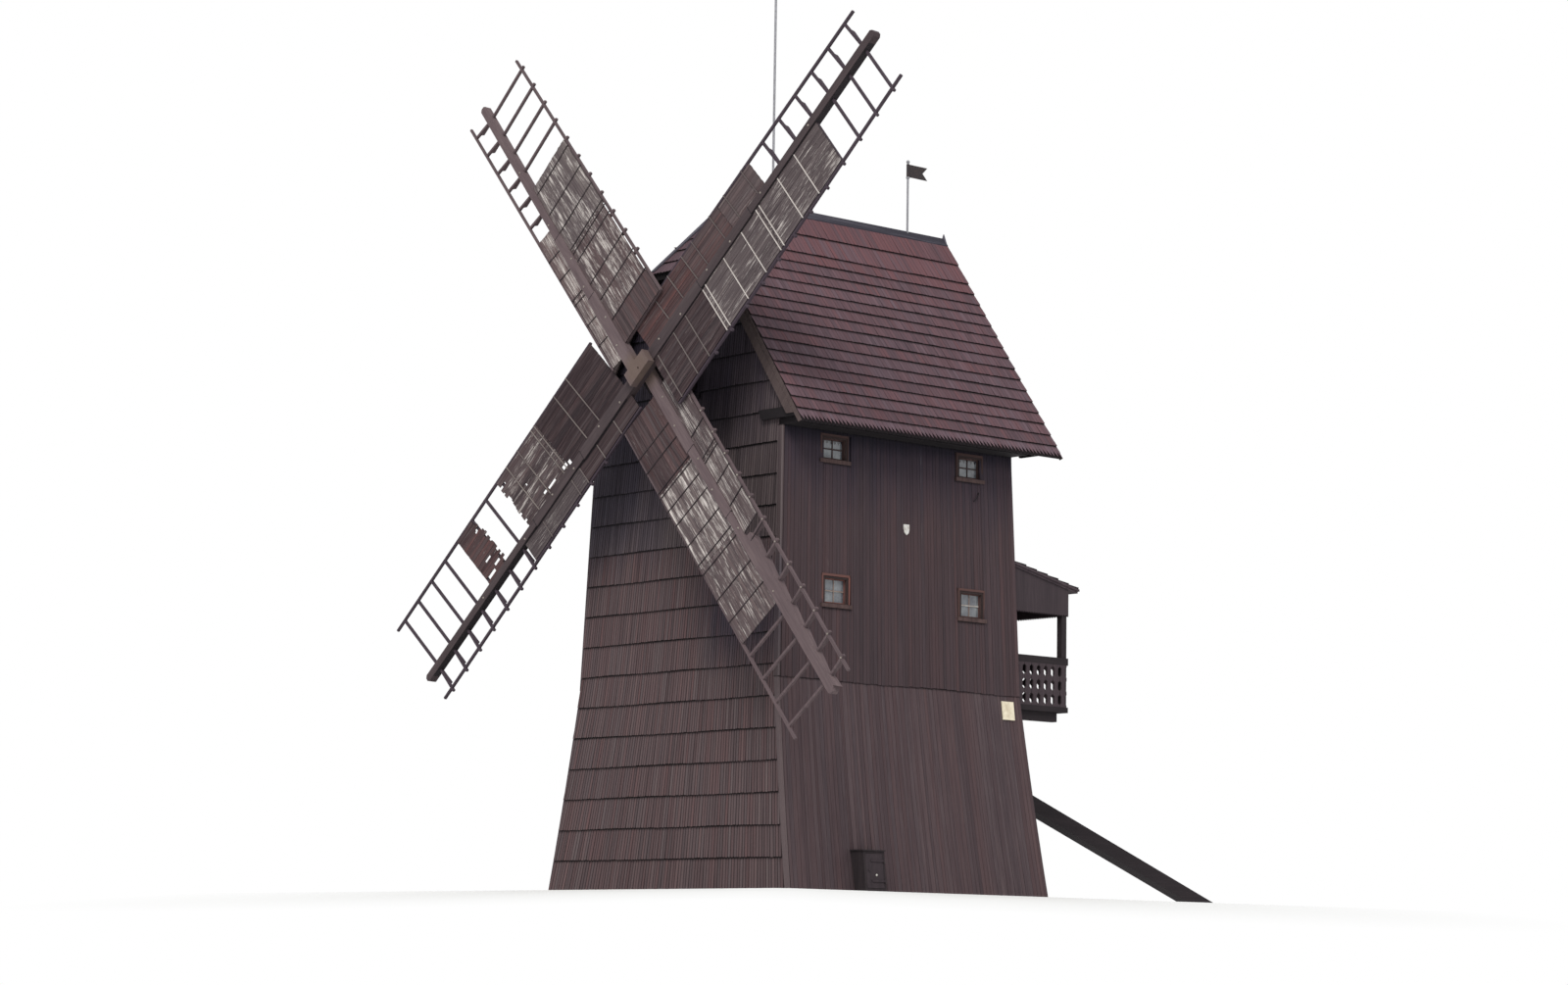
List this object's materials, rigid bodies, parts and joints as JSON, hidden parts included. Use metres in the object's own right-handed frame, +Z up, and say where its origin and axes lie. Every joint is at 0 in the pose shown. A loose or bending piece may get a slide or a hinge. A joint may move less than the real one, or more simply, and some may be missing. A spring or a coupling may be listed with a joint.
{
  "type": "traditional post windmill",
  "caption": "Boarded post windmill with flared skirt, shingled half-hipped roof, rear balcony, tail pole, latticed sails on a turning windshaft and a vane.",
  "frame": {"origin": "middle of the underside of the front skirt wall, on the ground", "axes": "+Z up, -Y out of the front with the sails, +X to the side with the hatch"},
  "size_m": [13.5296, 16.468, 17.3],
  "materials": {
    "skirt_boards": "weathered upright boards, grey brown",
    "body_boards": "weathered upright boards, dark brown",
    "floor_boards": "rough boards",
    "window_wood": "worn brown paint",
    "glass": "old window glass",
    "dark_timber": "tarred timber",
    "shingles": "weathered red brown shingles",
    "ridge_board": "dark grey board",
    "verge_wood": "weathered board",
    "sail_timber": "weathered grey timber",
    "sail_boards": "bleached thin boards",
    "baluster_wood": "weathered brown boards",
    "iron": "dark iron"
  },
  "bodies": {
    "mill": {"front_skirt_wall": "skirt_boards", "rear_skirt_wall": "skirt_boards", "left_skirt_wall": "skirt_boards", "right_skirt_wall_front": "skirt_boards", "right_skirt_wall_middle": "skirt_boards", "right_skirt_wall_rear": "skirt_boards", "front_wall": "body_boards", "rear_wall": "body_boards", "left_wall": "body_boards", "right_wall": "body_boards", "front_gable": "body_boards", "rear_gable": "body_boards", "balcony_panels": "body_boards", "lower_floor": "floor_boards", "upper_floor": "floor_boards", "balcony_floor": "floor_boards", "left_window_frames": "window_wood", "right_window_frames": "window_wood", "left_window_panes": "glass", "right_window_panes": "glass", "left_eaves_plate": "dark_timber", "right_eaves_plate": "dark_timber", "neck_beam": "dark_timber", "tail_beam": "dark_timber", "balcony_joists": "dark_timber", "balcony_posts": "dark_timber", "balcony_rails": "dark_timber", "tail_pole": "dark_timber", "tail_pole_block": "dark_timber", "left_roof_slope": "shingles", "right_roof_slope": "shingles", "front_half_hip": "shingles", "balcony_roof": "shingles", "ridge_cap": "ridge_board", "front_verge_boards": "verge_wood", "rear_verge_boards": "verge_wood", "balcony_balusters": "baluster_wood", "balcony_door_frame": "baluster_wood", "balcony_door": "baluster_wood", "hatch_frame": "baluster_wood", "hatch_hinges": "iron", "vane_pole": "iron", "mast": "iron"},
    "sails": {"windshaft": "dark_timber", "sail_stock": "sail_timber", "upper_left_whip": "sail_timber", "lower_right_whip": "sail_timber", "upper_right_lattice": "sail_timber", "upper_right_boards": "sail_boards", "upper_left_lattice": "sail_timber", "upper_left_boards": "sail_boards", "lower_left_lattice": "sail_timber", "lower_left_boards": "sail_boards", "lower_right_lattice": "sail_timber", "lower_right_boards": "sail_boards"},
    "hatch": {"hatch_door": "baluster_wood"},
    "vane": {"vane_pennant": "iron"}
  },
  "joints": [
    {"name": "sail_turn", "type": "hinge", "parent": "mill", "child": "sails", "pos_m": [0, -0.82652, 9.55], "axis": [0, -0.9986, 0.0523], "continuous": true},
    {"name": "hatch_swing", "type": "hinge", "parent": "mill", "child": "hatch", "pos_m": [3.76257, 1.963, 0.37394], "axis": [-0.1288, 0, 0.9917], "range_deg": [0, 110]},
    {"name": "vane_turn", "type": "hinge", "parent": "mill", "child": "vane", "pos_m": [0, 5.86252, 14.42], "axis": [0, 0, 1], "continuous": true}
  ]
}
